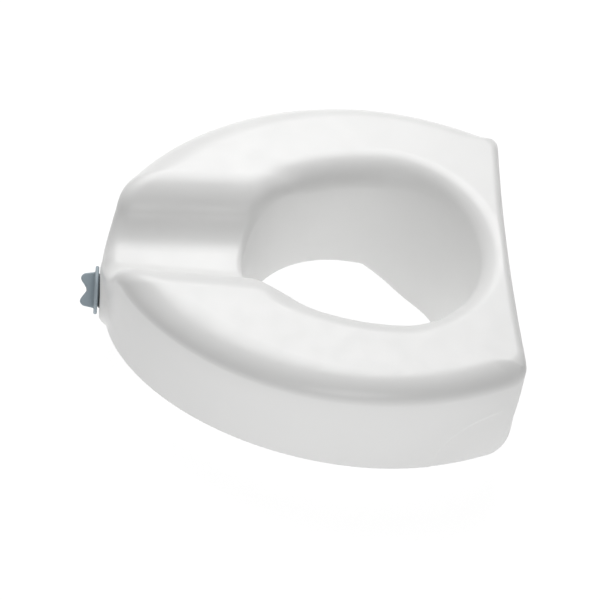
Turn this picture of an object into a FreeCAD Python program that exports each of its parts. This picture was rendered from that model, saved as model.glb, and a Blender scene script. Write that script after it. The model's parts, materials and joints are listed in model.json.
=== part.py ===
"""Raised toilet seat: a hollow moulded seat, held on the bowl by a rear lip and a front screw clamp.

Frame: x = 0 is the plane of symmetry, y = 0 the widest line of the seat, z = 0 the top of the bowl's rim.
The front of the seat, with its knob, faces -Y, and +Z is up. All sizes are in millimetres.
"""
import FreeCAD, Part
import math
import os

import Sketcher

os.makedirs("parts", exist_ok=True)
doc = FreeCAD.newDocument("raised_toilet_seat")

# ---------------------------------------------------------------- driving dimensions
DIMENSIONS = {
    # moulded seat: outline at the top and along the bottom edge
    "seat_height": 129.0,  # z of the sitting surface
    "underside": 1.5,  # z of the bottom edge: the rim pads stand this far below it
    "top_half_width": 197.4,
    "top_front": 249.6,
    "top_back": 143.9,
    "top_power_across": 1.685,
    "top_power_along": 2.038,
    "top_side_taper": 38.7,
    "top_back_hollow": 4.6,
    "top_corner": 14.0,
    "low_half_width": 180.7,
    "low_front": 257.5,
    "low_back": 138.2,
    "low_power_across": 1.757,
    "low_power_along": 1.915,
    "low_side_taper": 37.1,
    "low_back_hollow": 3.3,
    "low_corner": 30.2,
    "low_centre": 16.4,
    "side_power": 2.09,
    "shoulder_height": 21.5,
    "shoulder_inset": 25.7,
    "shoulder_front_inset": 18.5,  # how much wider the shoulder is at the front
    "back_round": 9.0,  # rounding along the back edge
    "back_round_from": 92.0,  # y where the wide side shoulder starts to narrow to it
    "back_round_full": 131.0,
    "wall": 4.0,
    # egg-shaped opening: its widest line, its reach from there, and its rounded edge
    "hole_top_half_width": 97.4,
    "hole_top_front": 139.5,
    "hole_top_rear": 85.3,
    "hole_top_widest": 27.3,
    "hole_low_half_width": 92.2,
    "hole_low_front": 92.4,
    "hole_low_rear": 110.4,
    "hole_low_widest": -11.6,
    "hole_power": 2.03,
    "hole_edge": 29.5,
    "hole_edge_rear": 22.0,
    "hole_edge_from": 20.0,  # y where the edge starts to tighten to its rear radius
    "hole_edge_full": 100.0,
    # hygiene trough from the front edge to the opening
    "trough_floor": 84.5,
    "trough_foot": 29.6,  # half widths at the front edge, where floor and wall and top would meet
    "trough_brow": 49.1,
    "trough_spread": 0.037,
    "trough_back": -48.0,
    "trough_foot_radius": 22.0,
    "trough_brow_radius": 24.0,
    # lip that hooks inside the back of the bowl
    "lip_depth": 22.0,
    "lip_thickness": 7.0,
    "lip_start": 19.3,
    "lip_ramp": 41.6,
    # boss and screw
    "axis_height": 35.5,
    "boss_radius": 32.0,
    "boss_face": -246.9,
    "boss_round": 3.0,
    "shaft_radius": 9.0,
    "shaft_end": -251.4,
    "running_gap": 0.05,
    "washer_thickness": 1.0,
    "thread_radius": 12.0,
    "thread_root": 9.5,
    "thread_pitch": 12.0,
    "collar_radius": 15.0,
    "collar_front": -219.0,
    "collar_length": 4.0,
    "thread_end": -129.5,
    "journal_radius": 7.0,
    "journal_end": -116.3,
    "tang_half": 3.0,
    "tang_length": 5.6,
    # knob
    "flange_radius": 23.5,
    "flange_front": -252.4,
    "flange_back": -248.9,
    "hub_radius": 16.0,
    "grip_tip": -265.9,
    "grip_notch": -260.9,
    "grip_base_half": 17.5,
    "grip_tip_half": 13.0,
    "grip_half_thickness": 5.0,
    "grip_turn": 45.0,
    "cap_screw_radius": 1.6,
    "cap_head_radius": 3.4,
    "cap_head_length": 2.0,
    # channel under the front bridge
    "channel_half": 44.0,
    "channel_front": -222.0,
    "channel_back": -115.0,
    "channel_top": 62.0,
    "ledge_half": 60.0,
    "ledge_depth": 5.0,
    "bush_radius": 12.0,
    "bush_flange_radius": 18.0,
    "bush_flange": 2.0,
    # rails
    "rail_inner": 34.0,
    "rail_outer": 59.0,
    "rail_front": -212.0,
    "rail_low": 2.0,
    "rail_top": 6.0,
    "rail_screw_x": 52.0,
    "rail_screw_front": -203.0,
    "rail_screw_back": -130.0,
    "screw_radius": 2.0,
    "screw_head_radius": 4.0,
    "screw_head": 2.0,
    "screw_reach": 12.0,
    # rear bearing of the screw
    "bearing_half": 34.0,
    "bearing_front": -128.5,
    "bearing_seat": -119.5,
    "bearing_low": 22.0,
    "bearing_top": 50.0,
    "bearing_pocket": 13.0,
    "bearing_screw_x": 26.0,
    "bearing_screw_reach": 15.0,
    "clip_radius": 9.0,
    "clip_root": 5.0,
    "clip_mouth_half": 4.0,
    # jaw at rest, which is fully back
    "jaw_back": -130.5,
    "jaw_length": 28.0,
    "jaw_wing_half": 43.4,
    "jaw_low": 6.4,
    "jaw_wing_top": 13.0,
    "jaw_house_half": 26.0,
    "jaw_top": 58.0,
    "jaw_leg_half": 31.0,
    "jaw_leg": 8.0,
    "jaw_bore": 16.0,
    "nut_half": 20.0,
    "nut_length": 22.0,
    "nut_bore": 12.3,
    "nut_screw_place": 15.5,
    "nut_screw_radius": 1.6,
    "nut_screw_head": 3.0,
    "jaw_pad_half": 28.0,
    "jaw_pad": 3.0,
    "jaw_pad_top": 2.0,
    # pads and plugs under the seat
    "pad_length": 46.0,
    "pad_width": 16.0,
    "pad_recess": 1.5,
    "pad_x": 127.0,
    "pad_front": -70.0,
    "pad_back": 62.0,
    "pad_turn": 14.0,
    "plug_x": 62.0,
    "plug_y": 128.0,
    "plug_radius": 5.0,
    "plug_head_radius": 7.0,
    "plug_head": 0.9,
    "plug_reach": 6.0,
    "plug_stem": 4.0,
    # clearances and small edges
    "bore_gap": 0.03,  # between a fixed piece and the bore it sits in
    "sink_gap": 0.2,  # round a sunk screw head
    "washer_gap": 0.2,
    "slot_width": 0.8,
    "slot_share": 0.7,  # how much of the screw head's width the slot takes
    "flange_edge": 0.6,
    "flange_round": 2.4,
    "grip_edge": 0.6,
    "grip_corner": 3.0,
    "notch_half": 2.2,
    "notch_edge": 0.4,
    "tang_gap": 0.5,
    "cap_head_sunk": 0.6,
    "cap_head_edge": 0.8,
    "cap_screw_bite": 3.0,
    "thread_sunk": 0.6,  # how far the ridge's foot is inside the core
    "thread_foot": 0.5,  # widths of the ridge as shares of the pitch
    "thread_flank": 0.16,
    "thread_margin": 1.0,
    "gusset_reach": 12.0,
    "nut_screw_sunk": 0.5,
    "nut_screw_bite": 4.0,  # how far its screws reach past the nut into the jaw
    "overlap": 1.0,  # how far joined features of one piece run into each other
}

sheet = doc.addObject("Spreadsheet::Sheet", "Dims")
for row, (alias, value) in enumerate(DIMENSIONS.items(), start=1):
    sheet.set(f"A{row}", alias)
    sheet.set(f"B{row}", str(value))
    sheet.setAlias(f"B{row}", alias)
doc.recompute()

NODES = []
OUTLINE_POINTS = 132
OVAL_POINTS = 48
SPAN_POINTS = 12
CLOSE_POINTS = 200  # steps along one stretch of an outline before it is spaced evenly
BELOW = -30.0  # a level under the whole seat, where cuts from below start
SHOULDER_LEVELS = (20, 40, 58, 74, 90)  # degrees up a quarter ellipse
EDGE_LEVELS = (20, 40, 58, 72, 83)
CORNER_CROWD = 2.5  # how much closer the outline's points are round a back corner
CORNER_SPREAD = 28.0


def size(alias):
    """The sheet's value for one alias."""
    return float(sheet.get(alias))


def expression(text):
    """An expression with each sheet alias in it written as Dims.alias."""
    words = []
    for word in text.replace("(", "( ").replace(")", " )").split():
        words.append("Dims." + word if word in DIMENSIONS else word)
    return " ".join(words)


def value_of(text):
    """What an expression over the sheet comes to."""
    result = sheet.evalExpression(expression(text))
    return float(getattr(result, "Value", result))


def bind(item, **sizes):
    """Bind properties to expressions over the sheet; two underscores stand for a dot."""
    for name, text in sizes.items():
        item.setExpression(name.replace("__", "."), expression(text))
    return item


def node(item, label):
    """Name a finished piece, which is exported under that name."""
    item.Label = label
    NODES.append(item)
    return item


# ---------------------------------------------------------------- sketch and feature helpers
def new_body(label):
    body = doc.addObject("PartDesign::Body", label)
    return node(body, label)


def new_sketch(body, role, name, offset="0"):
    """A sketch on one of the body's own origin planes, moved along the plane's normal."""
    plane = next(f for f in body.Origin.OriginFeatures if f.Role == role)
    sketch = body.newObject("Sketcher::SketchObject", f"{body.Name}_{name}")
    sketch.AttachmentSupport = [(plane, "")]
    sketch.MapMode = "FlatFace"
    bind(sketch, AttachmentOffset__Base__z=offset)
    return sketch


def fix_point(sketch, geometry, point, across, along):
    """Hold one sketch point at two expressions, measured from the sketch's origin."""
    for kind, text in (("DistanceX", across), ("DistanceY", along)):
        number = sketch.addConstraint(Sketcher.Constraint(kind, -1, 1, geometry, point, value_of(text)))
        bind(sketch, **{f"Constraints[{number}]": text})


def polygon(sketch, corners):
    """A closed outline of straight lines with every corner bound to the sheet."""
    spots = [FreeCAD.Vector(value_of(a), value_of(b), 0) for a, b in corners]
    first = sketch.GeometryCount
    count = len(spots)
    for i in range(count):
        sketch.addGeometry(Part.LineSegment(spots[i], spots[(i + 1) % count]), False)
    for i in range(count):
        sketch.addConstraint(Sketcher.Constraint("Coincident", first + i, 2, first + (i + 1) % count, 1))
    for i, (across, along) in enumerate(corners):
        fix_point(sketch, first + i, 1, across, along)


def rectangle(sketch, left, right, low, high):
    polygon(sketch, [(left, low), (right, low), (right, high), (left, high)])


def circle(sketch, across, along, radius):
    centre = FreeCAD.Vector(value_of(across), value_of(along), 0)
    disc = Part.Circle(centre, FreeCAD.Vector(0, 0, 1), value_of(radius))
    index = sketch.addGeometry(disc, False)
    fix_point(sketch, index, 3, across, along)
    number = sketch.addConstraint(Sketcher.Constraint("Radius", index, value_of(radius)))
    bind(sketch, **{f"Constraints[{number}]": radius})


def feature(body, kind, name, sketch, length, reverse=False):
    """A Pad or Pocket of a sketch. Its length is an expression."""
    item = body.newObject(f"PartDesign::{kind}", f"{body.Name}_{name}")
    item.Profile = sketch
    item.Reversed = reverse
    bind(item, Length=length)
    return item


def pad_y(body, name, draw, back, front):
    """Pad a section drawn in x and z from the plane y = back forwards to y = front."""
    sketch = new_sketch(body, "XZ_Plane", name + "_section", f"0 - ({back})")
    draw(sketch)
    return feature(body, "Pad", name, sketch, f"({back}) - ({front})")


def pocket_y(body, name, draw, back, front):
    """Cut a section drawn in x and z out of the body between y = back and y = front."""
    doc.recompute()
    before = body.Shape.Volume
    sketch = new_sketch(body, "XZ_Plane", name + "_section", f"0 - ({back})")
    draw(sketch)
    item = feature(body, "Pocket", name, sketch, f"({back}) - ({front})", reverse=True)
    doc.recompute()
    if not body.Shape.Volume < before - 1e-3:
        raise RuntimeError(f"{item.Name} cuts nothing")
    return item


def turned(label, profile):
    """A piece turned about the screw's axis. The profile's points are (y, radius)."""
    body = new_body(label)
    sketch = new_sketch(body, "YZ_Plane", "profile")
    polygon(sketch, profile)
    spin = body.newObject("PartDesign::Revolution", f"{body.Name}_turned")
    spin.Profile = sketch
    spin.ReferenceAxis = (sketch, ["H_Axis"])
    spin.Angle = 360
    bind(body, Placement__Base__z="axis_height")
    return body


def ring(label, inner, outer, front, back):
    """A washer or bush about the screw's axis."""
    return turned(label, [(front, inner), (back, inner), (back, outer), (front, outer)])


# ---------------------------------------------------------------- primitives for screws and plugs
def cylinder(name, radius, length, spot, axis):
    """A cylinder that starts at a point and runs along an axis."""
    item = doc.addObject("Part::Cylinder", name)
    item.Placement.Rotation = FreeCAD.Rotation(FreeCAD.Vector(0, 0, 1), FreeCAD.Vector(*axis))
    bind(item, Radius=radius, Height=length)
    across, along, up = spot
    bind(item, Placement__Base__x=across, Placement__Base__y=along, Placement__Base__z=up)
    return item


def fused(label, pieces):
    item = doc.addObject("Part::MultiFuse", label)
    item.Shapes = pieces
    return item


def cut(label, base, tools):
    tool = tools[0] if len(tools) == 1 else fused(label + "_tools", tools)
    item = doc.addObject("Part::Cut", label)
    item.Base = base
    item.Tool = tool
    return item


def screw(name, spot, axis, reach, radius="screw_radius", head_radius="screw_head_radius"):
    """One screw: a head whose top is at the spot, a shank and a slot across the head."""
    across, along, up = spot
    head = cylinder(name + "_head", head_radius, "screw_head", spot, axis)
    shank = cylinder(name + "_shank", radius, reach, spot, axis)
    slot = doc.addObject("Part::Box", name + "_slot")
    half = f"{head_radius} * slot_share"
    bind(slot, Length=f"2 * ({half})", Width="slot_width", Height="slot_width")
    if axis[2]:
        base = (f"{across} - ({half})", f"{along} - slot_width / 2", up)
    else:
        base = (f"{across} - ({half})", f"{along}", f"{up} - slot_width / 2")
    bind(slot, Placement__Base__x=base[0], Placement__Base__y=base[1], Placement__Base__z=base[2])
    return cut(name, fused(name + "_solid", [head, shank]), [slot])


def group(label, pieces):
    """Identical separate solids kept in one node."""
    item = doc.addObject("Part::Compound", label)
    item.Links = pieces
    return node(item, label)


# ---------------------------------------------------------------- curves of the moulded seat
def half_outline(width, front, back, across, along, taper, hollow, corner, centre):
    """Close points of the seat's outline on the +X side, from the front to the middle of the back."""
    points = []
    steps = CLOSE_POINTS
    for i in range(steps):
        turn = math.pi / 2 * (1 - i / steps)
        points.append((width * math.cos(turn) ** (2 / across), -front * math.sin(turn) ** (2 / along)))
    power = size("side_power")
    edge = width - taper
    lean = math.atan(taper * power / back)
    reach = corner * math.tan((math.pi / 2 - lean) / 2)
    side_end = 1 - reach * math.cos(lean) / back
    for i in range(steps + 1):
        share = i / steps * side_end
        points.append((width - taper * share**power, back * share))
    side_x, side_y = points[-1]
    rear_x = edge - reach
    rear_y = back - hollow * (1 - (rear_x / edge) ** 2)
    for i in range(1, steps):
        share = i / steps
        near, middle, far = (1 - share) ** 2, 2 * share * (1 - share), share**2
        x = near * side_x + middle * edge + far * rear_x
        points.append((x, near * side_y + middle * back + far * rear_y))
    for i in range(steps + 1):
        x = rear_x * (1 - i / steps)
        points.append((x, back - hollow * (1 - (x / edge) ** 2)))
    return [(x, y + centre) for x, y in points]


def evenly(points, count, corner=None):
    """Points the same distance apart along a closed ring of close points, closer round a corner."""
    ring_points = points + points[:1]
    runs = [math.dist(a, b) for a, b in zip(ring_points, ring_points[1:])]
    if corner:
        near = [math.dist((abs(x), y), corner) / CORNER_SPREAD for x, y in points]
        runs = [run * (1 + CORNER_CROWD * math.exp(-(far**2))) for run, far in zip(runs, near)]
    step = sum(runs) / count
    spaced = []
    travelled = 0.0
    for (x0, y0), (x1, y1), run in zip(ring_points, ring_points[1:], runs):
        while len(spaced) < count and len(spaced) * step <= travelled + run:
            share = (len(spaced) * step - travelled) / run if run else 0.0
            spaced.append((x0 + (x1 - x0) * share, y0 + (y1 - y0) * share))
        travelled += run
    return spaced


def top_outline():
    return half_outline(
        size("top_half_width"),
        size("top_front"),
        size("top_back"),
        size("top_power_across"),
        size("top_power_along"),
        size("top_side_taper"),
        size("top_back_hollow"),
        size("top_corner"),
        0.0,
    )


def low_outline():
    return half_outline(
        size("low_half_width"),
        size("low_front"),
        size("low_back"),
        size("low_power_across"),
        size("low_power_along"),
        size("low_side_taper"),
        size("low_back_hollow"),
        size("low_corner"),
        size("low_centre"),
    )


def whole(half):
    """Mirror a half outline into a closed ring of points, closest at the two back corners."""
    corner = max(half, key=lambda spot: spot[0] + 2 * spot[1])
    return evenly(half + [(-x, y) for x, y in half[-2:0:-1]], OUTLINE_POINTS, corner)


def closed_wire(points, z):
    """A smooth closed curve through the points, split into spans that match from ring to ring."""
    count = len(points)
    spots = [FreeCAD.Vector(x, y, z) for x, y in points]
    curve = Part.BSplineCurve()
    curve.interpolate(Points=spots, PeriodicFlag=True, Parameters=[float(i) for i in range(count + 1)])
    edges = []
    for start in range(0, count, SPAN_POINTS):
        span = curve.copy()
        span.segment(start, start + SPAN_POINTS)
        edges.append(span.toShape())
    return Part.Wire(edges)


def inset(points, depths):
    """Move a counter-clockwise ring of points inwards, each by its own depth."""
    count = len(points)
    moved = []
    for i, (x, y) in enumerate(points):
        before = points[i - 1]
        after = points[(i + 1) % count]
        dx = after[0] - before[0]
        dy = after[1] - before[1]
        length = math.hypot(dx, dy)
        moved.append((x - dy / length * depths[i], y + dx / length * depths[i]))
    return moved


def eased(value, low, high):
    """0 below low, 1 above high, with a smooth rise between."""
    share = min(1.0, max(0.0, (value - low) / (high - low)))
    return share * share * (3 - 2 * share)


def rounding(z, crown, height, width):
    """How far an elliptical round-over has moved sideways at a level below the crown."""
    share = min(1.0, max(0.0, (z - crown + height) / height))
    return width * (1 - math.sqrt(1 - share**2))


def shoulder_depth(y, z):
    """How far the rounded shoulder is inside the outline: wide at the sides, tight at the back."""
    back = eased(y, size("back_round_from"), size("back_round_full"))
    front_share = min(1.0, max(0.0, -y / size("top_front")))
    width = size("shoulder_inset") + size("shoulder_front_inset") * front_share
    width += (size("back_round") - width) * back
    height = size("shoulder_height") + (size("back_round") - size("shoulder_height")) * back
    return rounding(z, size("seat_height"), height, width)


def outer_solid(skin):
    """The seat's outside, with its rounded shoulder, moved inwards by the skin's thickness."""
    low, top = whole(low_outline()), whole(top_outline())
    base, crown = size("underside"), size("seat_height")
    spring = crown - size("shoulder_height")
    wires = []
    for share in (0.0, 0.35, 0.7, 1.0):
        ringed = [(a[0] + (b[0] - a[0]) * share, a[1] + (b[1] - a[1]) * share) for a, b in zip(low, top)]
        z = base + skin + (spring - base - skin) * share
        wires.append(closed_wire(inset(ringed, [skin] * len(ringed)), z))
    for degrees in SHOULDER_LEVELS:
        rise = size("shoulder_height") * math.sin(math.radians(degrees))
        depths = [max(skin, shoulder_depth(y, spring + rise)) for _, y in top]
        wires.append(closed_wire(inset(top, depths), spring + rise * (1 - skin / size("shoulder_height"))))
    return Part.makeLoft(wires, True, True)


def egg(half_width, front, rear, widest):
    """Evenly spaced points of an egg shape, counter-clockwise from the middle of its front."""
    points = []
    steps = 4 * CLOSE_POINTS
    power = 2 / size("hole_power")
    for i in range(steps):
        turn = 2 * math.pi * i / steps - math.pi / 2
        c, s = math.cos(turn), math.sin(turn)
        x = half_width * math.copysign(abs(c) ** power, c)
        y = (rear if s > 0 else front) * math.copysign(abs(s) ** power, s)
        points.append((x, y + widest))
    return evenly(points, OVAL_POINTS)


def hole_ring(share, grow):
    """The opening's outline at a share of its height, grown outwards by a function of y."""
    mixed = []
    for key in ("half_width", "front", "rear", "widest"):
        low, top = size("hole_low_" + key), size("hole_top_" + key)
        mixed.append(low + (top - low) * share)
    points = egg(*mixed)
    return inset(points, [-grow(y) for _, y in points])


def edge_radius(y):
    """Rounding of the opening's upper edge, tighter at the rear."""
    full, rear = size("hole_edge"), size("hole_edge_rear")
    return full + (rear - full) * eased(y, size("hole_edge_from"), size("hole_edge_full"))


def hole_solid(skin):
    """The space of the opening, with its rounded top edge, grown by the skin's thickness."""
    crown, edge = size("seat_height"), size("hole_edge")
    spring = crown - edge
    wires = []
    for share in (-0.3, 0.0, 0.5, 1.0):
        wires.append(closed_wire(hole_ring(share, lambda y: skin), spring * share))
    for degrees in EDGE_LEVELS:
        rise = edge * math.sin(math.radians(degrees))

        def grow(y, z=spring + rise):
            return skin + rounding(z, crown, edge_radius(y), edge_radius(y))

        wires.append(closed_wire(hole_ring(1.0, grow), spring + rise * (1 - skin / edge)))
    wires.append(closed_wire(hole_ring(1.0, lambda y: skin + edge_radius(y) * 1.02), crown + 2.0))
    return Part.makeLoft(wires, True, True)


def trough_section(y, skin):
    """A rounded U across the trough, closed above the seat. Its sides ease into the top."""
    crown, floor = size("seat_height") - skin + 0.3, size("trough_floor") - skin
    spread = (y + size("top_front")) * size("trough_spread") + skin
    foot, brow = size("trough_foot") + spread, size("trough_brow") + spread
    foot_radius, brow_radius = size("trough_foot_radius") + skin, size("trough_brow_radius") - skin
    slant = math.atan2(crown - floor, brow - foot)
    foot_centre = (foot - foot_radius * math.tan(slant / 2), floor + foot_radius)
    brow_centre = (brow + brow_radius * math.tan(slant / 2), crown - brow_radius)
    lid = size("seat_height") + 1.5

    def spot(centre, radius, angle):
        return (centre[0] + radius * math.cos(angle), centre[1] + radius * math.sin(angle))

    foot_arc = [spot(foot_centre, foot_radius, share * slant - math.pi / 2) for share in (0, 0.5, 1)]
    brow_arc = [spot(brow_centre, brow_radius, math.pi / 2 + share * slant) for share in (1, 0.5, 0)]
    right = foot_arc + brow_arc + [(brow_centre[0], lid)]
    left = [(-x, z) for x, z in reversed(right)]
    spots = [FreeCAD.Vector(x, y, z) for x, z in left + right]
    runs = ((0, 1), (1, 2, 3), (3, 4), (4, 5, 6), (6, 7), (7, 8, 9), (9, 10), (10, 11, 12), (12, 13), (13, 0))
    edges = []
    for run in runs:
        ends = [spots[i] for i in run]
        curve = Part.Arc(*ends) if len(run) == 3 else Part.LineSegment(*ends)
        edges.append(curve.toShape())
    return Part.Wire(edges)


def trough_solid(skin):
    ends = (-size("top_front") - 20.0, size("trough_back"))
    return Part.makeLoft([trough_section(y, skin) for y in ends], True, True)


def slab(x, y, z):
    """A box between two values on each axis."""
    corner = FreeCAD.Vector(x[0], y[0], z[0])
    return Part.makeBox(x[1] - x[0], y[1] - y[0], z[1] - z[0], corner)


def rod(radius, front, back, height):
    """A cylinder along the screw's direction."""
    start = FreeCAD.Vector(0, front, height)
    return Part.makeCylinder(radius, back - front, start, FreeCAD.Vector(0, 1, 0))


def channel_solid(skin):
    """The space under the front bridge where the clamp slides, and the ledges for its rails."""
    half = size("channel_half") + skin
    span = (size("channel_front") - skin, size("channel_back") + skin)
    deep = slab((-half, half), span, (BELOW, size("channel_top") + skin))
    ledge = size("ledge_half") + skin
    ledge_span = (size("rail_front") - 0.5 - skin, span[1])
    ledge_top = size("underside") + size("ledge_depth") + skin
    return deep.fuse(slab((-ledge, ledge), ledge_span, (BELOW, ledge_top)))


def lip_solid():
    """The lip round the back of the opening: full depth behind, sloping up to nothing at its ends."""
    deep = -size("lip_depth")
    top = size("underside") + 2.0
    outside = [closed_wire(hole_ring(0.0, lambda y: size("lip_thickness")), z) for z in (deep, top)]
    inside = [closed_wire(hole_ring(0.0, lambda y: 0.0), z) for z in (deep - 1.0, top + 1.0)]
    ringed = Part.makeLoft(outside, True, True).cut(Part.makeLoft(inside, True, True))
    start = size("lip_start")
    full = start + size("lip_ramp")
    reach = size("top_half_width")
    corners = [
        (start, top),
        (start, size("underside") - 0.1),
        (full, deep),
        (full + reach, deep),
        (full + reach, top),
    ]
    spots = [FreeCAD.Vector(-reach, y, z) for y, z in corners]
    wedge = Part.Face(Part.makePolygon(spots + spots[:1])).extrude(FreeCAD.Vector(2 * reach, 0, 0))
    return ringed.common(wedge)


def pad_places():
    """Centre and turn of each rim pad, by the name of its corner."""
    places = {}
    for end, y, way in (("front", size("pad_front"), 1), ("rear", size("pad_back"), -1)):
        for side, hand in (("left", -1), ("right", 1)):
            places[f"{end}_{side}"] = (hand * size("pad_x"), y, -hand * way * size("pad_turn"))
    return places


def pad_solid(x, y, turn, low, high, grow=0.0):
    """A strip with round ends, which lies along y before it is turned."""
    half = size("pad_width") / 2 + grow
    reach = size("pad_length") / 2 - size("pad_width") / 2
    strip = slab((-half, half), (-reach, reach), (low, high))
    for end in (-reach, reach):
        strip = strip.fuse(Part.makeCylinder(half, high - low, FreeCAD.Vector(0, end, low)))
    strip = strip.removeSplitter()
    strip.Placement = FreeCAD.Placement(
        FreeCAD.Vector(x, y, 0), FreeCAD.Rotation(FreeCAD.Vector(0, 0, 1), turn)
    )
    return strip


def seat_shape():
    """The hollow moulding: skin all round, solid where the clamp is fastened."""
    height = size("axis_height")
    gap = size("bore_gap")
    outside = outer_solid(0.0).cut(hole_solid(0.0)).cut(trough_solid(0.0))
    boss = rod(size("boss_radius"), size("boss_face"), size("channel_front"), height)
    rim = [edge for edge in boss.Edges if abs(edge.BoundBox.YMax - size("boss_face")) < 1e-6]
    boss = boss.makeFillet(size("boss_round"), rim[:1])
    shape = outside.fuse(boss).fuse(lip_solid()).cut(channel_solid(0.0))

    skin = size("wall")
    hollow = outer_solid(skin).cut(hole_solid(skin)).cut(trough_solid(skin)).cut(channel_solid(skin))
    front, back = size("channel_front"), size("channel_back")
    beside = size("ledge_half") + skin
    solid_span = (size("boss_face"), back + size("bearing_screw_reach"))
    hollow = hollow.cut(slab((-beside, beside), solid_span, (BELOW, size("screw_reach") + 2 * skin)))
    hollow = hollow.cut(rod(size("boss_radius"), size("boss_face") - 5, front, height))
    shape = shape.cut(hollow)

    shape = shape.cut(rod(size("bush_radius") + gap, size("boss_face") - 5, front + 1, height))
    for x, y, turn in pad_places().values():
        recess = size("underside") + size("pad_recess")
        shape = shape.cut(pad_solid(x, y, turn, BELOW, recess, size("sink_gap") / 2))
    up = FreeCAD.Vector(0, 0, 1)
    for hand in (-1, 1):
        place = FreeCAD.Vector(hand * size("plug_x"), size("plug_y"), 0)
        shape = shape.cut(Part.makeCylinder(size("plug_radius") + gap, size("plug_reach"), place, up))
        for y in (size("rail_screw_front"), size("rail_screw_back")):
            place = FreeCAD.Vector(hand * size("rail_screw_x"), y, 0)
            reach = size("rail_low") + size("screw_reach")
            shape = shape.cut(Part.makeCylinder(size("screw_radius") + gap, reach, place, up))
        place = FreeCAD.Vector(hand * size("bearing_screw_x"), back - 1, height)
        reach = size("bearing_front") + size("bearing_screw_reach") + 1 + size("screw_head") + 1 - back
        along = FreeCAD.Vector(0, 1, 0)
        shape = shape.cut(Part.makeCylinder(size("screw_radius") + gap, reach, place, along))
    return shape


def free_form(label, shape):
    """A document object for a shape that is worked out here."""
    item = doc.addObject("Part::Feature", label)
    item.Shape = shape
    item.Placement = shape.Placement
    return node(item, label)


# ---------------------------------------------------------------- the seat and what is fixed to it
free_form("seat_body", seat_shape())

for corner, (pad_x, pad_y_place, pad_angle) in pad_places().items():
    pad_top = size("underside") + size("pad_recess")
    free_form(f"rim_pad_{corner}", pad_solid(pad_x, pad_y_place, pad_angle, 0.0, pad_top))

plugs = []
for hand, side in ((-1, "left"), (1, "right")):
    place = (f"{hand} * plug_x", "plug_y", "underside - plug_head")
    head = cylinder(f"plug_{side}_head", "plug_head_radius", "plug_head", place, (0, 0, 1))
    stem = cylinder(f"plug_{side}_stem", "plug_radius", "plug_head + plug_stem", place, (0, 0, 1))
    plugs.append(fused(f"plug_{side}", [head, stem]))
group("vent_plugs", plugs)

turned(
    "front_bushing",
    [
        ("boss_face", "shaft_radius + running_gap"),
        ("channel_front + bush_flange", "shaft_radius + running_gap"),
        ("channel_front + bush_flange", "bush_flange_radius"),
        ("channel_front", "bush_flange_radius"),
        ("channel_front", "bush_radius"),
        ("boss_face", "bush_radius"),
    ],
)

guide_screws = []
for hand, side in ((-1, "left"), (1, "right")):
    rail = new_body(f"guide_rail_{side}")
    plan = new_sketch(rail, "XY_Plane", "plan", "rail_low")
    edges = sorted((f"{hand} * rail_inner", f"{hand} * rail_outer"), key=value_of)
    rectangle(plan, edges[0], edges[1], "rail_front", "channel_back - 0.5")
    feature(rail, "Pad", "plate", plan, "rail_top - rail_low")
    doc.recompute()
    solid_rail = rail.Shape.Volume
    rail_holes = (
        ("hole", "screw_radius + bore_gap", "rail_top"),
        ("sink", "screw_head_radius + sink_gap", "screw_head"),
    )
    for part, radius, depth in rail_holes:
        spots = new_sketch(rail, "XY_Plane", part + "_plan", "rail_low")
        for end in ("front", "back"):
            circle(spots, f"{hand} * rail_screw_x", f"rail_screw_{end}", radius)
        feature(rail, "Pocket", part, spots, depth, reverse=True)
    doc.recompute()
    if not rail.Shape.Volume < solid_rail - 1.0:
        raise RuntimeError("the rail has no screw holes")
    for end in ("front", "back"):
        place = (f"{hand} * rail_screw_x", f"rail_screw_{end}", "rail_low")
        guide_screws.append(screw(f"guide_screw_{side}_{end}", place, (0, 0, 1), "screw_reach"))
group("guide_screws", guide_screws)

bearing = new_body("rear_bearing")
pad_y(
    bearing,
    "block",
    lambda s: rectangle(s, "-1 * bearing_half", "bearing_half", "bearing_low", "bearing_top"),
    "channel_back",
    "bearing_front",
)
pocket_y(
    bearing,
    "bore",
    lambda s: circle(s, "0", "axis_height", "journal_radius + running_gap"),
    "channel_back",
    "bearing_front",
)
pocket_y(
    bearing,
    "clip_room",
    lambda s: circle(s, "0", "axis_height", "bearing_pocket"),
    "channel_back",
    "bearing_seat",
)
for hand, side in ((-1, "left"), (1, "right")):
    bearing_holes = (
        ("screw", "screw_radius + bore_gap", "channel_back"),
        ("sink", "screw_head_radius + sink_gap", "bearing_front + screw_head + 1"),
    )
    for part, radius, back in bearing_holes:
        pocket_y(
            bearing,
            f"{part}_{side}",
            lambda s, hand=hand, radius=radius: circle(s, f"{hand} * bearing_screw_x", "axis_height", radius),
            back,
            "bearing_front",
        )
group(
    "rear_bearing_screws",
    [
        screw(
            f"bearing_screw_{side}",
            (f"{hand} * bearing_screw_x", "bearing_front + 1", "axis_height"),
            (0, 1, 0),
            "bearing_screw_reach + screw_head",
        )
        for hand, side in ((-1, "left"), (1, "right"))
    ],
)

# ---------------------------------------------------------------- the knob and its screw
ring(
    "outer_thrust_washer",
    "shaft_radius + washer_gap",
    "hub_radius + 1",
    "boss_face - washer_thickness",
    "boss_face",
)
ring(
    "inner_thrust_washer",
    "shaft_radius + washer_gap",
    "collar_radius + 1",
    "collar_front - washer_thickness",
    "collar_front",
)

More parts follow.
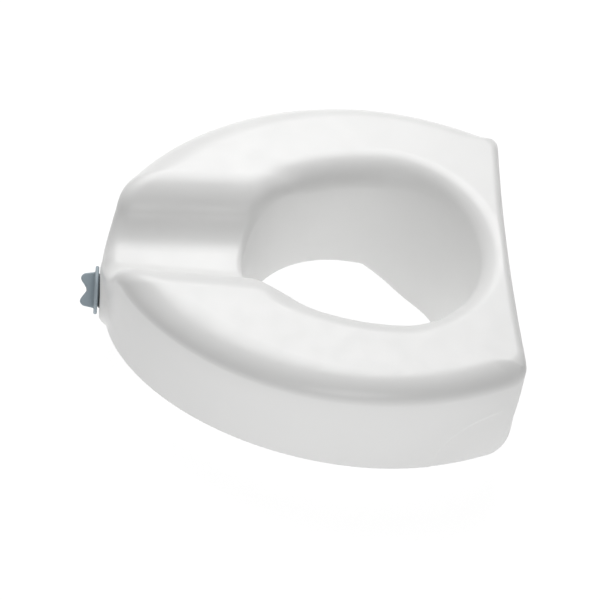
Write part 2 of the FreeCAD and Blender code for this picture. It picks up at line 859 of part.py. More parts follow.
worm = turned(
    "worm_screw",
    [
        ("shaft_end", "0"),
        ("journal_end", "0"),
        ("journal_end", "clip_root"),
        ("bearing_seat", "clip_root"),
        ("bearing_seat", "journal_radius"),
        ("thread_end", "journal_radius"),
        ("thread_end", "thread_root"),
        ("collar_front + collar_length", "thread_root"),
        ("collar_front + collar_length", "collar_radius"),
        ("collar_front", "collar_radius"),
        ("collar_front", "shaft_radius"),
        ("shaft_end", "shaft_radius"),
    ],
)
ridge = new_sketch(worm, "YZ_Plane", "thread_profile")
thread_start = "collar_front + collar_length + thread_margin"
foot_radius = "thread_root - thread_sunk"
polygon(
    ridge,
    [
        (thread_start, foot_radius),
        (f"{thread_start} + thread_pitch * thread_foot", foot_radius),
        (f"{thread_start} + thread_pitch * ( thread_foot - thread_flank )", "thread_radius"),
        (f"{thread_start} + thread_pitch * thread_flank", "thread_radius"),
    ],
)
thread = worm.newObject("PartDesign::AdditiveHelix", "worm_thread")
thread.Profile = ridge
thread.ReferenceAxis = (ridge, ["H_Axis"])
thread.Mode = 0
thread_reach = f"thread_end - ( {thread_start} ) - thread_pitch * thread_foot - thread_margin"
bind(thread, Pitch="thread_pitch", Height=thread_reach)
tang = new_sketch(worm, "XZ_Plane", "tang_section", "0 - shaft_end")
rectangle(tang, "-1 * tang_half", "tang_half", "-1 * tang_half", "tang_half")
feature(worm, "Pad", "tang", tang, "tang_length")
doc.recompute()
pilot = new_sketch(worm, "XZ_Plane", "pilot_section", "tang_length - shaft_end")
circle(pilot, "0", "0", "cap_screw_radius + bore_gap")
feature(worm, "Pocket", "pilot", pilot, "tang_length + cap_screw_bite + overlap", reverse=False)
bind(worm, Placement__Rotation__Angle="grip_turn")
worm.Placement.Rotation.Axis = FreeCAD.Vector(0, 1, 0)

knob = new_body("knob")
bind(knob, Placement__Base__z="axis_height", Placement__Rotation__Angle="grip_turn")
knob.Placement.Rotation.Axis = FreeCAD.Vector(0, 1, 0)
flange = new_sketch(knob, "YZ_Plane", "flange_profile")
polygon(
    flange,
    [
        ("flange_front", "0"),
        ("boss_face - washer_thickness", "0"),
        ("boss_face - washer_thickness", "hub_radius"),
        ("flange_back", "hub_radius"),
        ("flange_back", "flange_radius - flange_edge"),
        ("flange_back - flange_edge", "flange_radius"),
        ("flange_front + flange_round * 0.6", "flange_radius"),
        ("flange_front + flange_round * 0.18", "flange_radius - flange_round * 0.4"),
        ("flange_front", "flange_radius - flange_round"),
    ],
)
disc = knob.newObject("PartDesign::Revolution", "knob_disc")
disc.Profile = flange
disc.ReferenceAxis = (flange, ["H_Axis"])
disc.Angle = 360
grip = new_sketch(knob, "XY_Plane", "grip_plan", "-1 * grip_half_thickness")
polygon(
    grip,
    [
        ("-1 * grip_base_half", "flange_back - overlap"),
        ("grip_base_half", "flange_back - overlap"),
        ("grip_base_half", "flange_front - 2 * overlap"),
        ("grip_tip_half + grip_corner", "grip_tip + grip_corner + 1"),
        ("grip_tip_half + grip_corner / 3", "grip_tip + grip_corner / 3"),
        ("grip_tip_half", "grip_tip"),
        ("grip_tip_half - flange_round", "grip_tip + grip_edge"),
        ("notch_half", "grip_notch - notch_edge"),
        ("0", "grip_notch"),
        ("-1 * notch_half", "grip_notch - notch_edge"),
        ("flange_round - grip_tip_half", "grip_tip + grip_edge"),
        ("-1 * grip_tip_half", "grip_tip"),
        ("-1 * grip_tip_half - grip_corner / 3", "grip_tip + grip_corner / 3"),
        ("-1 * grip_tip_half - grip_corner", "grip_tip + grip_corner + 1"),
        ("-1 * grip_base_half", "flange_front - 2 * overlap"),
    ],
)
feature(knob, "Pad", "grip", grip, "2 * grip_half_thickness")
doc.recompute()
knob_solid = knob.Shape.Volume
socket = new_sketch(knob, "XZ_Plane", "socket_section", "0 - boss_face + washer_thickness")
circle(socket, "0", "0", "shaft_radius")
feature(knob, "Pocket", "socket", socket, "boss_face - washer_thickness - shaft_end", reverse=True)
seatings = new_sketch(knob, "XZ_Plane", "tang_section", "0 - shaft_end - tang_gap")
rectangle(seatings, "-1 * tang_half", "tang_half", "-1 * tang_half", "tang_half")
feature(knob, "Pocket", "tang_socket", seatings, "tang_length + tang_gap", reverse=True)
doc.recompute()
if not knob.Shape.Volume < knob_solid - 1.0:
    raise RuntimeError("the knob has no socket")
head_room = new_sketch(knob, "XZ_Plane", "head_section", "0 - grip_notch - cap_head_length - cap_head_sunk")
circle(head_room, "0", "0", "cap_head_radius + sink_gap")
feature(knob, "Pocket", "head_room", head_room, "flange_radius", reverse=True)
shank_room = new_sketch(knob, "XZ_Plane", "shank_section", "0 - shaft_end")
circle(shank_room, "0", "0", "cap_screw_radius + bore_gap")
feature(knob, "Pocket", "shank_room", shank_room, "flange_radius", reverse=True)

cap_head = "grip_notch + cap_head_length + cap_head_sunk"
turned(
    "knob_screw",
    [
        (f"{cap_head} - cap_head_length", "cap_head_edge"),
        (f"{cap_head} - cap_head_length + cap_head_edge * 1.5", "0"),
        ("shaft_end + cap_screw_bite", "0"),
        ("shaft_end + cap_screw_bite", "cap_screw_radius"),
        (cap_head, "cap_screw_radius"),
        (cap_head, "cap_head_radius"),
        (f"{cap_head} - cap_head_length + cap_head_edge", "cap_head_radius"),
        (f"{cap_head} - cap_head_length", "cap_head_radius - cap_head_edge"),
    ],
)

ring(
    "screw_end_washer",
    "clip_root + 0.1",
    "journal_radius + 3",
    "bearing_seat",
    "bearing_seat + washer_thickness",
)
clip = ring(
    "screw_end_clip",
    "clip_root",
    "clip_radius",
    "bearing_seat + washer_thickness",
    "bearing_seat + 2 * washer_thickness",
)
pocket_y(
    clip,
    "mouth",
    lambda s: rectangle(s, "-1 * clip_mouth_half", "clip_mouth_half", "-1 * clip_radius - 1", "0"),
    "bearing_seat + 2 * washer_thickness",
    "bearing_seat + washer_thickness",
)

# ---------------------------------------------------------------- the jaw, which the screw draws forwards
jaw = new_body("clamp_jaw")
jaw_front = "jaw_back - jaw_length"
pad_y(
    jaw,
    "wings",
    lambda s: rectangle(s, "-1 * jaw_wing_half", "jaw_wing_half", "jaw_low", "jaw_wing_top"),
    "jaw_back",
    jaw_front,
)
pad_y(
    jaw,
    "housing",
    lambda s: rectangle(s, "-1 * jaw_house_half", "jaw_house_half", "jaw_low + overlap", "jaw_top"),
    "jaw_back",
    jaw_front,
)
pad_y(
    jaw,
    "leg",
    lambda s: rectangle(s, "-1 * jaw_leg_half", "jaw_leg_half", "-1 * lip_depth", "jaw_low + overlap"),
    "jaw_back",
    "jaw_back - jaw_leg",
)
gusset = new_sketch(jaw, "YZ_Plane", "gusset_profile", "-1 * jaw_leg_half")
polygon(
    gusset,
    [
        ("jaw_back - jaw_leg + overlap", "jaw_pad_top"),
        ("jaw_back - jaw_leg + overlap", "jaw_low + overlap"),
        ("jaw_back - jaw_leg - gusset_reach", "jaw_low + overlap"),
        ("jaw_back - jaw_leg - gusset_reach", "jaw_low - overlap"),
    ],
)
feature(jaw, "Pad", "gusset", gusset, "2 * jaw_leg_half")
pocket_y(
    jaw,
    "nut_room",
    lambda s: rectangle(s, "-1 * nut_half", "nut_half", "axis_height - nut_half", "axis_height + nut_half"),
    "jaw_back",
    "jaw_back - nut_length",
)
pocket_y(jaw, "screw_bore", lambda s: circle(s, "0", "axis_height", "jaw_bore"), "jaw_back", jaw_front)

nut = new_body("travel_nut")
pad_y(
    nut,
    "block",
    lambda s: rectangle(s, "-1 * nut_half", "nut_half", "axis_height - nut_half", "axis_height + nut_half"),
    "jaw_back",
    "jaw_back - nut_length",
)
nut_front = "jaw_back - nut_length"
pocket_y(nut, "bore", lambda s: circle(s, "0", "axis_height", "nut_bore"), "jaw_back", nut_front)

nut_screws = []
for hand, side in ((-1, "left"), (1, "right")):
    across = f"{hand} * nut_screw_place"
    up = f"axis_height + {hand} * nut_screw_place"
    reach = "nut_length + nut_screw_bite"
    for holder, far in ((nut, nut_front), (jaw, f"jaw_back - ( {reach} )")):
        pocket_y(
            holder,
            f"screw_{side}",
            lambda s, across=across, up=up: circle(s, across, up, "nut_screw_radius + bore_gap"),
            "jaw_back",
            far,
        )
    pocket_y(
        nut,
        f"sink_{side}",
        lambda s, across=across, up=up: circle(s, across, up, "nut_screw_head + sink_gap"),
        "jaw_back",
        "jaw_back - screw_head - nut_screw_sunk",
    )
    place = (across, "jaw_back - nut_screw_sunk", up)
    shank = f"{reach} - nut_screw_sunk - 0.1"
    nut_screws.append(
        screw(f"nut_screw_{side}", place, (0, -1, 0), shank, "nut_screw_radius", "nut_screw_head")
    )
group("travel_nut_screws", nut_screws)

facing = new_body("jaw_pad")
pad_y(
    facing,
    "facing",
    lambda s: rectangle(s, "-1 * jaw_pad_half", "jaw_pad_half", "1 - lip_depth", "jaw_pad_top - 1"),
    "jaw_back - jaw_leg",
    "jaw_back - jaw_leg - jaw_pad",
)

# ---------------------------------------------------------------- checks and export
doc.recompute()
for item in doc.Objects:
    if "Invalid" in item.State or "Error" in item.State:
        raise RuntimeError(f"{item.Name} did not compute: {item.State}")
for item in NODES:
    if item.Shape.isNull() or not item.Shape.isValid():
        raise RuntimeError(f"{item.Label} has no valid shape")
for item in NODES:
    item.Shape.exportStep(f"parts/{item.Label}.step")
    box = item.Shape.BoundBox
    volume = item.Shape.Volume / 1000
    print(f"{item.Label}: {volume:.1f} cm3, {len(item.Shape.Solids)} solids, z from {box.ZMin:.1f}")
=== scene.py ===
"""Looks of the raised toilet seat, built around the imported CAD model. Shapes are worked out in millimetres.

The moulded shell and the knob are smooth bodies: each is a function of position that is negative inside,
blended from simple walls with fillets, and meshed where the function is zero.
"""

import json
import math

import bpy
import numpy as np
from mathutils import Matrix, Vector


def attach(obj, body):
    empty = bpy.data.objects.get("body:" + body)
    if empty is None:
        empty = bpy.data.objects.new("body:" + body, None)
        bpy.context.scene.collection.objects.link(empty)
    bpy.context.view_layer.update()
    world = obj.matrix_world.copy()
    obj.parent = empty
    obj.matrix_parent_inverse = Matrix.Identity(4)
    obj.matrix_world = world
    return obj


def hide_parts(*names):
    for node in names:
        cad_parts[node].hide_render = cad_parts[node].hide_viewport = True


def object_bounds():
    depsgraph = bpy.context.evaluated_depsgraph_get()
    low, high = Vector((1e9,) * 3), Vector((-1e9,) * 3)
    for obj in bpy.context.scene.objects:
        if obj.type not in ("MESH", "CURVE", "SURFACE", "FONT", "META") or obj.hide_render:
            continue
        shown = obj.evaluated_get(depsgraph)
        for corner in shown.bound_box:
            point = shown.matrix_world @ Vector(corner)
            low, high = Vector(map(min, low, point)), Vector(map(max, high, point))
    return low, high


MM = 0.001
TINY = 1e-3  # keeps powers and divisions away from zero

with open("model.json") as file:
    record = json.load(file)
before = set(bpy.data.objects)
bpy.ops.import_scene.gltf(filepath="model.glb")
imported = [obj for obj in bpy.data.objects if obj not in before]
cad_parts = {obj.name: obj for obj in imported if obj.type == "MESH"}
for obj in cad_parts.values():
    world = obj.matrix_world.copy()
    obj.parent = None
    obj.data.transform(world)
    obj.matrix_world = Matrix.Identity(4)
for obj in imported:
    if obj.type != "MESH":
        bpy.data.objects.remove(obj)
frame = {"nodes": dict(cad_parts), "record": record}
cad_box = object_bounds()


# ---------------------------------------------------------------- blends of signed distances
def cut_with(a, b, radius):
    """Both a and b, with the edge where they meet rounded to the radius."""
    u = np.maximum(a + radius, 0.0)
    v = np.maximum(b + radius, 0.0)
    return np.minimum(np.maximum(a, b), -radius) + np.hypot(u, v)


def join(a, b, radius):
    """Either a or b, with the inner corner where they meet filled to the radius."""
    return -cut_with(-a, -b, radius)


def shoulder(wall, top, inset, drop):
    """Wall and top with an elliptical round-over, inset wide and drop high."""
    a = wall / inset + 1.0
    b = top / drop + 1.0
    outside = np.hypot(np.maximum(a, 0.0), np.maximum(b, 0.0))
    return (np.minimum(np.maximum(a, b), 0.0) + outside - 1.0) * drop


def ease(value, low, high):
    """0 below low, 1 above high, with a smooth rise between."""
    t = np.clip((value - low) / (high - low), 0.0, 1.0)
    return t * t * (3.0 - 2.0 * t)


def box_distance(point, low, high, radius=0.0):
    """Distance from a box with rounded edges."""
    distance = None
    for value, a, b in zip(point, low, high):
        slab = np.abs(value - (a + b) / 2) - (b - a) / 2
        distance = slab if distance is None else cut_with(distance, slab, radius)
    return distance


# ---------------------------------------------------------------- meshing a blended body
REACH = 0.12  # step for gradients, as a share of a cell
FIRST_MOVE, LAST_MOVE = 0.5, 0.25  # furthest that a vertex settles in a round, as a share of a cell
LEAST_SQUARE = 0.05  # least squared gradient that a move is divided by


def surface_net(function, low, high, cell):
    """Vertices and quads where a function over (x, y, z) changes sign, one vertex to a cell."""
    axes = [np.arange(a - 1.5 * cell, b + 2.5 * cell, cell) for a, b in zip(low, high)]
    grid = np.meshgrid(*axes, indexing="ij")
    value = function(*grid)
    inside = value < 0.0
    shape = np.array(value.shape)
    total = np.zeros(tuple(shape - 1) + (3,))
    count = np.zeros(tuple(shape - 1))
    corner = np.stack(np.meshgrid(*[np.arange(n - 1) for n in shape], indexing="ij"), -1).astype(float)
    steps = [np.array([i, j, k]) for i in (0, 1) for j in (0, 1) for k in (0, 1)]
    for axis in range(3):
        for step in steps:
            if step[axis]:
                continue
            end = step.copy()
            end[axis] = 1
            first = tuple(slice(s, n - 1 + s) for s, n in zip(step, shape))
            second = tuple(slice(s, n - 1 + s) for s, n in zip(end, shape))
            crossing = inside[first] != inside[second]
            a, b = value[first], value[second]
            share = np.where(crossing, a / np.where(crossing, a - b, 1.0), 0.0)
            spot = corner + step
            spot[..., axis] += share
            total += np.where(crossing[..., None], spot, 0.0)
            count += crossing
    active = count > 0
    index = np.full(active.shape, -1)
    index[active] = np.arange(active.sum())
    origin = np.array([axis[0] for axis in axes])
    vertices = origin + total[active] / count[active][:, None] * cell
    quads = []
    for axis in range(3):
        other = [i for i in range(3) if i != axis]
        inner = [slice(1, n - 1) for n in shape]
        first, second = list(inner), list(inner)
        first[axis] = slice(0, shape[axis] - 1)
        second[axis] = slice(1, shape[axis])
        a, b = inside[tuple(first)], inside[tuple(second)]
        crossing = np.argwhere(a != b)
        lower = crossing.copy()
        for i in other:
            lower[:, i] += 1
        ring = []
        for p, q in ((0, 0), (1, 0), (1, 1), (0, 1)):
            cell_at = lower.copy()
            cell_at[:, other[0]] -= p
            cell_at[:, other[1]] -= q
            ring.append(index[cell_at[:, 0], cell_at[:, 1], cell_at[:, 2]])
        faces = np.stack(ring, -1)
        outward = a[tuple(crossing.T)]
        flip = outward if axis != 1 else ~outward
        faces[flip] = faces[flip][:, ::-1]
        quads.append(faces)
    faces = np.concatenate(quads)
    return vertices, faces[:, ::-1]


def slopes(function, vertices, reach):
    """The function's gradient at each vertex."""
    gradient = np.empty_like(vertices)
    for axis in range(3):
        step = np.zeros(3)
        step[axis] = reach
        ahead = function(*(vertices + step).T)
        behind = function(*(vertices - step).T)
        gradient[:, axis] = (ahead - behind) / (2 * reach)
    return gradient


def settle(function, vertices, reach, limit, rounds=3):
    """Move vertices along the gradient onto the surface."""
    for _ in range(rounds):
        gradient = slopes(function, vertices, reach)
        square = np.maximum((gradient**2).sum(1), LEAST_SQUARE)
        move = -(function(*vertices.T) / square)[:, None] * gradient
        length = np.maximum(np.linalg.norm(move, axis=1), 1e-9)
        move *= np.minimum(1.0, limit / length)[:, None]
        vertices = vertices + move
    return vertices


def relax(function, vertices, faces, reach, rounds):
    """Even out the spacing of the vertices along the surface."""
    pairs = np.concatenate([faces[:, [i, (i + 1) % 4]] for i in range(4)])
    ends = np.concatenate([pairs, pairs[:, ::-1]])
    count = np.bincount(ends[:, 0], minlength=len(vertices)).astype(float)
    for _ in range(rounds):
        sums = [np.bincount(ends[:, 0], vertices[ends[:, 1], i], len(vertices)) for i in range(3)]
        mean = np.stack(sums, -1)
        move = mean / count[:, None] - vertices
        normal = slopes(function, vertices, reach)
        normal /= np.maximum(np.linalg.norm(normal, axis=1), 1e-9)[:, None]
        move -= (move * normal).sum(1)[:, None] * normal
        vertices = settle(function, vertices + 0.5 * move, reach, reach * 4, 1)
    return vertices


def blended_mesh(name, function, low, high, cell, rounds=6):
    """A mesh object, smooth shaded by the function's own normals, of a body given in millimetres."""
    vertices, faces = surface_net(function, low, high, cell)
    reach = cell * REACH
    vertices = settle(function, vertices, reach, cell * FIRST_MOVE)
    vertices = relax(function, vertices, faces, reach, rounds)
    vertices = settle(function, vertices, reach, cell * LAST_MOVE)
    normal = slopes(function, vertices, reach)
    normal /= np.maximum(np.linalg.norm(normal, axis=1), 1e-9)[:, None]
    mesh = bpy.data.meshes.new(name)
    mesh.from_pydata((vertices * MM).tolist(), [], faces.tolist())
    mesh.update()
    mesh.shade_smooth()
    mesh.normals_split_custom_set_from_vertices(normal.tolist())
    piece = bpy.data.objects.new(name, mesh)
    bpy.context.scene.collection.objects.link(piece)
    return piece


# ---------------------------------------------------------------- the moulded seat
UNDERSIDE = 1.5  # bottom edge of the seat above the bowl's rim
CROWN = 129.0  # sitting surface
SHOULDER_DROP = 21.5
SHOULDER_INSET = 25.7
SHOULDER_FRONT = 18.5  # extra inset towards the front
SHOULDER_FRONT_RUN = (40.0, 110.0)  # distance from the middle over which that extra comes in
BACK_ROUND = 9.0  # rounding along the back edge
BACK_RUN = (-14.0, 16.0)  # distance past the back corner's bisector over which that takes over
FLOOR_INSET, FLOOR_DROP = 17.5, 14.0  # the same round-over where the trough's floor runs out at the front
SPRING = CROWN - SHOULDER_DROP
HALF_WIDTH, FRONT, BACK = 197.4, 249.6, 143.9
TOP_OUTLINE = dict(
    width=HALF_WIDTH,
    front=FRONT,
    back=BACK,
    across=1.685,
    along=2.038,
    taper=38.7,
    hollow=4.6,
    corner=8.0,
    centre=0.0,
)
LOW_OUTLINE = dict(
    width=180.7,
    front=257.5,
    back=138.2,
    across=1.757,
    along=1.915,
    taper=37.1,
    hollow=3.3,
    corner=30.2,
    centre=16.4,
)
SIDE_POWER = 2.09
SHARE_SOFT = 0.06  # softens the change from leaning wall to upright shoulder
CORNER_BULGE = 3.0  # how far the back corners swell at half height
CORNER_RUN, CORNER_SPREAD = (60.0, 120.0), 45.0  # along the side, and round the corner
BASE_ROUND = 2.5
HOLE_TOP = (97.4, 142.2, 85.3, 27.3)  # half width, reach forwards and back from the widest line, that line
HOLE_LOW = (92.2, 91.5, 110.4, -11.6)
HOLE_POWER = 2.03
HOLE_CARRY = (-0.2, 1.1)  # shares of its height between which its wall keeps leaning
HOLE_EDGE, HOLE_EDGE_REAR, HOLE_EDGE_FLOOR = 29.5, 22.0, 6.0  # rounding of its upper edge
HOLE_EDGE_RUN = (20.0, 100.0)  # y over which the edge tightens to its rear rounding
TROUGH_FLOOR = 84.5
TROUGH_FOOT, TROUGH_BROW = 33.0, 52.5  # half widths at the floor and at the top, before rounding
TROUGH_FOOT_EDGE, TROUGH_BROW_EDGE = 22.0, 24.0
TROUGH_SPREAD, TROUGH_GAUGE = 0.037, -157.0
TROUGH_FADE_IN, TROUGH_FADE_OUT = 0.5, 37.4  # how far from foot and brow the trough's own edges fade out
TROUGH_RUN = (20.0, 70.0)  # distance in front of y = 0 over which the trough's floor takes over
TROUGH_STOP, TROUGH_OPEN = 40.0, -60.0  # y behind which it has no walls, and their distance there
LIP_DEPTH, LIP_THICK, LIP_START, LIP_RAMP = 22.0, 7.0, 19.3, 41.6
LIP_SETBACK = 2.0  # the ramp meets the underside this far in front of LIP_START
LIP_TOP, LIP_EDGE = 20.0, 0.5  # the lip's ring is hidden in the shell up to here
LIP_ROUND, LIP_RAMP_ROUND, LIP_BLEND = 2.6, 6.0, 1.5
LIP_BLEND_RUN = (1.0, 5.0)  # distance outside the opening's wall, which itself stays smooth
AXIS = 35.5  # height of the screw's axis
BOSS_RADIUS, BOSS_FACE = 32.0, -246.9
BOSS_ROUND, BOSS_BLEND = 8.0, 5.0
CHANNEL = dict(half=44.0, front=-222.0, back=-115.0, top=62.0)
LEDGE = dict(half=60.0, front=-212.5, back=-115.0, top=6.5)
ROOM_FLOOR, ROOM_ROUND, ROOM_EDGE = -40.0, 2.5, 1.0  # both rooms are open underneath
ARCH = (132.0, 5.0, 62.0, 72.0)  # middle in y and z, half length and height
ARCH_DEPTH, ARCH_EDGE = 0.55, (0.975, 1.015)
ARCH_SIDE_RUN, ARCH_REAR_RUN = (110.0, 130.0), (118.0, 134.0)
SEAT_CELL, SEAT_CELL_QUICK = 2.2, 4.0


def outline_distance(x, y, width, front, back, across, along, taper, hollow, corner, centre):
    """Distance from a D-shaped outline, and how far the back edge is nearer than the sides.

    The outline is a pointed oval in front, with bowed sides and a hollow back edge.
    """
    side = np.abs(x)
    y = y - centre
    power = (across + along) / 2
    forward = np.maximum(-y, TINY)
    reach = (np.maximum(side, TINY) / width) ** across + (forward / front) ** along
    level = reach ** (1 / power)
    slope = reach ** (1 / power - 1) / power
    slope_x = slope * across * (np.maximum(side, TINY) / width) ** (across - 1) / width
    slope_y = slope * along * (forward / front) ** (along - 1) / front
    oval = (level - 1.0) / np.hypot(slope_x, slope_y)
    share = np.maximum(y, 0.0) / back
    bow = side - (width - taper * share**SIDE_POWER)
    bow = bow / np.hypot(1.0, taper * SIDE_POWER * share ** (SIDE_POWER - 1) / back)
    edge = width - taper
    tilt = 2 * hollow * side / edge**2
    rear = (y - back + hollow * (1 - np.minimum(side / edge, 1.0) ** 2)) / np.hypot(1.0, tilt)
    return np.where(y < 0.0, oval, cut_with(bow, rear, corner)), np.where(y < 0.0, -width, rear - bow)


def hole_distance(x, y, z):
    """Distance from the wall of the egg-shaped opening, positive in the plastic round it."""
    share = np.clip(z / (CROWN - HOLE_EDGE), *HOLE_CARRY)
    half_width, front, rear, widest = [low + (top - low) * share for low, top in zip(HOLE_LOW, HOLE_TOP)]
    half_length = np.where(y < widest, front, rear)
    u = np.maximum(np.abs(x), TINY) / half_width
    v = np.maximum(np.abs(y - widest), TINY) / half_length
    level = (u**HOLE_POWER + v**HOLE_POWER) ** (1 / HOLE_POWER)
    slope = level ** (1 - HOLE_POWER)
    slope_x = slope * u ** (HOLE_POWER - 1) / half_width
    slope_y = slope * v ** (HOLE_POWER - 1) / half_length
    return (level - 1.0) / np.hypot(slope_x, slope_y)


def trough_share(x, y):
    """1 on the floor of the trough and 0 out on the seat."""
    spread = TROUGH_SPREAD * (y - TROUGH_GAUGE)
    across = ease(np.abs(x), TROUGH_FOOT + spread + TROUGH_FADE_IN, TROUGH_BROW + spread + TROUGH_FADE_OUT)
    return (1.0 - across) * ease(-y, *TROUGH_RUN)


def top_distance(x, y, z):
    """Distance above the sitting surface, the trough included."""
    spread = TROUGH_SPREAD * (y - TROUGH_GAUGE)
    depth = CROWN - TROUGH_FLOOR
    run = TROUGH_BROW - TROUGH_FOOT
    slant = math.hypot(run, depth)
    wall = ((z - TROUGH_FLOOR) * run - (np.abs(x) - TROUGH_FOOT - spread) * depth) / slant
    wall = np.where(y > TROUGH_STOP, TROUGH_OPEN, wall)
    lobe = cut_with(z - CROWN, wall, TROUGH_BROW_EDGE)
    return join(lobe, z - TROUGH_FLOOR, TROUGH_FOOT_EDGE)


def arch_depth(x, y, z):
    """Depth of the shallow arched recess in each side wall near the back."""
    centre_y, centre_z, half_length, height = ARCH
    radius = np.hypot((y - centre_y) / half_length, (z - centre_z) / height)
    on_side = ease(np.abs(x), *ARCH_SIDE_RUN) * (1.0 - ease(y, *ARCH_REAR_RUN))
    return ARCH_DEPTH * (1.0 - ease(radius, *ARCH_EDGE)) * on_side


def seat_function(x, y, z):
    """Negative inside the shell with its boss and lip, less the rooms cut for the clamp from below."""
    low, _ = outline_distance(x, y, **LOW_OUTLINE)
    top, behind = outline_distance(x, y, **TOP_OUTLINE)
    share = (z - UNDERSIDE) / (SPRING - UNDERSIDE)
    share = share - SHARE_SOFT * np.logaddexp(0.0, (share - 1.0) / SHARE_SOFT)
    wall = low + (top - low) * share + arch_depth(x, y, z)
    at_corner = ease(y, *CORNER_RUN) * np.exp(-((behind / CORNER_SPREAD) ** 2))
    wall = wall - CORNER_BULGE * at_corner * np.clip(4.0 * share * (1.0 - share), 0.0, 1.0)
    trough = trough_share(x, y)
    front_share = np.clip(-y / FRONT, 0.0, 1.0)
    inset = SHOULDER_INSET + SHOULDER_FRONT * front_share * ease(np.abs(x), *SHOULDER_FRONT_RUN)
    inset = inset + (FLOOR_INSET - SHOULDER_INSET) * trough
    drop = SHOULDER_DROP + (FLOOR_DROP - SHOULDER_DROP) * trough
    back = ease(behind, *BACK_RUN)
    inset = inset + (BACK_ROUND - inset) * back
    drop = drop + (BACK_ROUND - drop) * back
    body = shoulder(wall, top_distance(x, y, z), inset, drop)
    hole = -hole_distance(x, y, z)
    edge = HOLE_EDGE + (HOLE_EDGE_REAR - HOLE_EDGE) * ease(y, *HOLE_EDGE_RUN)
    body = cut_with(body, hole, edge + (HOLE_EDGE_FLOOR - edge) * trough)
    body = cut_with(body, UNDERSIDE - z, BASE_ROUND)

    radial = np.hypot(x, z - AXIS)
    boss = box_distance((y,), (BOSS_FACE,), (CHANNEL["front"],))
    boss = cut_with(radial - BOSS_RADIUS, boss, BOSS_ROUND)
    body = join(body, boss, BOSS_BLEND)

    ring = box_distance((hole_distance(x, y, z),), (0.0,), (LIP_THICK,))
    slope = math.atan(LIP_RAMP / LIP_DEPTH)
    slant = (LIP_START - LIP_SETBACK - y) * math.cos(slope) + (UNDERSIDE - z) * math.sin(slope)
    deep = cut_with(cut_with(-LIP_DEPTH - z, z - LIP_TOP, LIP_EDGE), slant, LIP_RAMP_ROUND)
    lip = cut_with(ring, deep, LIP_ROUND)
    body = join(body, lip, LIP_BLEND * ease(-hole, *LIP_BLEND_RUN))

    for room in (CHANNEL, LEDGE):
        low_corner = (-room["half"], room["front"], ROOM_FLOOR)
        high_corner = (room["half"], room["back"], room["top"])
        space = box_distance((x, y, z), low_corner, high_corner, ROOM_ROUND)
        body = cut_with(body, -space, ROOM_EDGE)
    return body


def make_seat():
    cell = SEAT_CELL
    low = (-HALF_WIDTH, -FRONT, -LIP_DEPTH)
    high = (HALF_WIDTH, LOW_OUTLINE["back"] + LOW_OUTLINE["centre"], CROWN)
    piece = blended_mesh("seat_shell", seat_function, low, high, cell)
    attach(piece, "seat")
    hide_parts("seat_body")
    return piece


# ---------------------------------------------------------------- the knob
GRIP_TURN = math.radians(45.0)
FLANGE = dict(radius=23.5, front=-252.4, back=-248.9)
HUB_RADIUS, HUB_BACK = 16.0, -247.9
GRIP = dict(tip=-265.9, notch=-260.9, base_half=17.5, thick=4.6)
FLANGE_ROUND, HUB_ROUND = 1.6, 0.3
SUNK = 1.0  # the hub and the grip each stop this far short of the flange's other face
GRIP_STEP = 3.5  # how far in front of the flange's back the grip starts to taper
GRIP_LEAN, GRIP_THIN = 0.16, 0.08  # taper of its sides and of its faces
CREST_RUN = (1.0, 11.0)  # distance from the middle over which the crest rises from notch to tip
GRIP_CREST = 0.86  # allows for the slope of the wavy crest
GRIP_CORNER, GRIP_ROUND, GRIP_BLEND = 4.2, 1.5, 1.3
RECESS_RADIUS, RECESS_DEPTH = 3.6, 2.6  # for the screw's head, in the notch
RECESS_ROUND, RECESS_EDGE = 0.2, 0.4
KNOB_CELL, KNOB_CELL_QUICK = 0.5, 1.0


def knob_function(x, y, z):
    """Negative inside the round flange, its hub and the winged grip."""
    z = z - AXIS
    u = x * math.cos(GRIP_TURN) - z * math.sin(GRIP_TURN)
    w = x * math.sin(GRIP_TURN) + z * math.cos(GRIP_TURN)
    radial = np.hypot(x, z)
    flange = box_distance((y,), (FLANGE["front"],), (FLANGE["back"],))
    flange = cut_with(radial - FLANGE["radius"], flange, FLANGE_ROUND)
    hub = box_distance((y,), (FLANGE["front"] + SUNK,), (HUB_BACK,))
    hub = cut_with(radial - HUB_RADIUS, hub, HUB_ROUND)
    forward = np.maximum(FLANGE["back"] - y - GRIP_STEP, 0.0)
    side = np.abs(u)
    lean = (side - GRIP["base_half"] + GRIP_LEAN * forward) / math.hypot(1.0, GRIP_LEAN)
    rise = GRIP["notch"] - (GRIP["notch"] - GRIP["tip"]) * ease(side, *CREST_RUN)
    crest = (rise - y) * GRIP_CREST
    blade = cut_with(lean, crest, GRIP_CORNER)
    thick = np.abs(w) - GRIP["thick"] + GRIP_THIN * forward
    blade = cut_with(blade, thick, GRIP_ROUND)
    blade = np.maximum(blade, y - FLANGE["back"] + SUNK)
    body = join(flange, blade, GRIP_BLEND)
    body = np.minimum(body, hub)
    recess = cut_with(radial - RECESS_RADIUS, y - (GRIP["notch"] + RECESS_DEPTH), RECESS_ROUND)
    return cut_with(body, -recess, RECESS_EDGE)


def make_knob():
    cell = KNOB_CELL
    reach = FLANGE["radius"]
    low = (-reach, GRIP["tip"], AXIS - reach)
    high = (reach, HUB_BACK, AXIS + reach)
    piece = blended_mesh("knob_shell", knob_function, low, high, cell)
    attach(piece, "knob_and_screw")
    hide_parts("knob")
    return piece


# ---------------------------------------------------------------- materials
def new_material(name, colour, roughness):
    material = bpy.data.materials.new(name)
    material.use_nodes = True
    tree = material.node_tree
    shader = tree.nodes["Principled BSDF"]
    shader.inputs["Base Color"].default_value = (*colour, 1.0)
    shader.inputs["Roughness"].default_value = roughness
    return material, tree, shader


